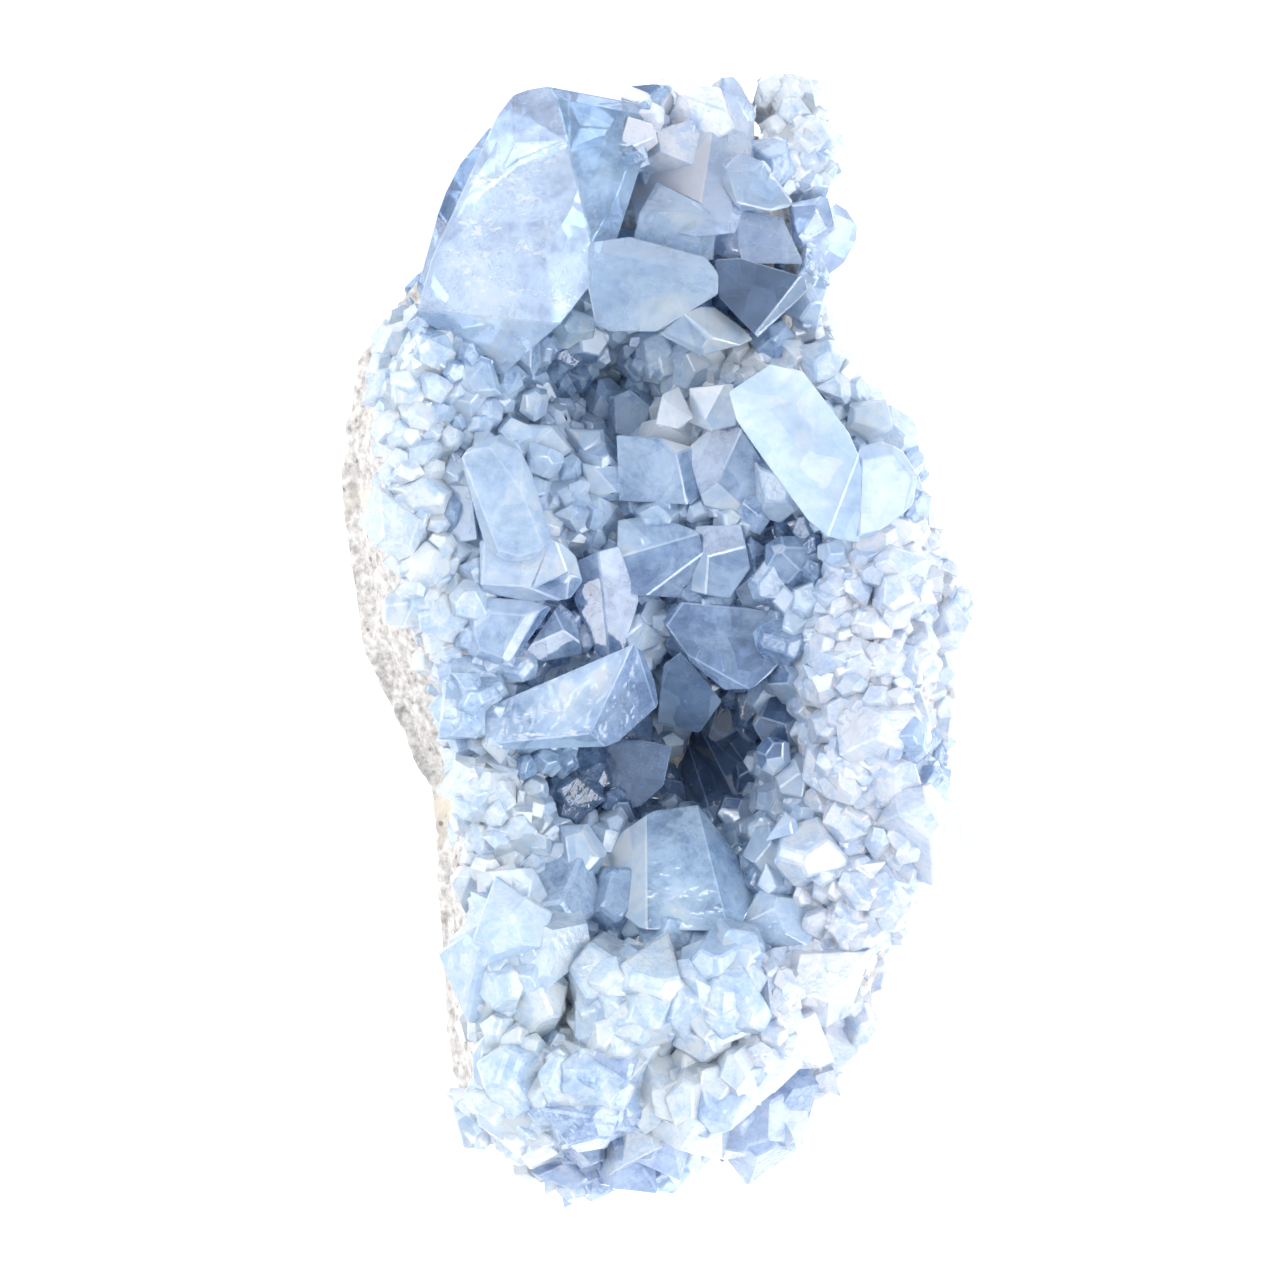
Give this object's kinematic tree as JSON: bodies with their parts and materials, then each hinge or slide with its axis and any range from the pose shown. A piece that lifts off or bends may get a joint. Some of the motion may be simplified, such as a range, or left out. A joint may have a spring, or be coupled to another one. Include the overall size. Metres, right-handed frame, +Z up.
{
  "type": "celestite crystal cluster",
  "caption": "Half of a geode with pale blue celestite crystals on light grey rock, lying on its back with the crystals facing up; a natural mineral specimen for display.",
  "frame": {"origin": "centre of the bounding box's bottom face, which is the surface that the specimen rests on", "axes": "+Y along the specimen, towards the end with the large crystals; +Z up, out of the crystal side; +X across it"},
  "size_m": [0.0688, 0.124, 0.0415],
  "materials": {
    "host_rock": "matte",
    "celestite": "gloss"
  },
  "bodies": {
    "root": {"matrix": "host_rock", "crystal_crust": "celestite", "crown_crystals": "celestite"}
  },
  "joints": []
}
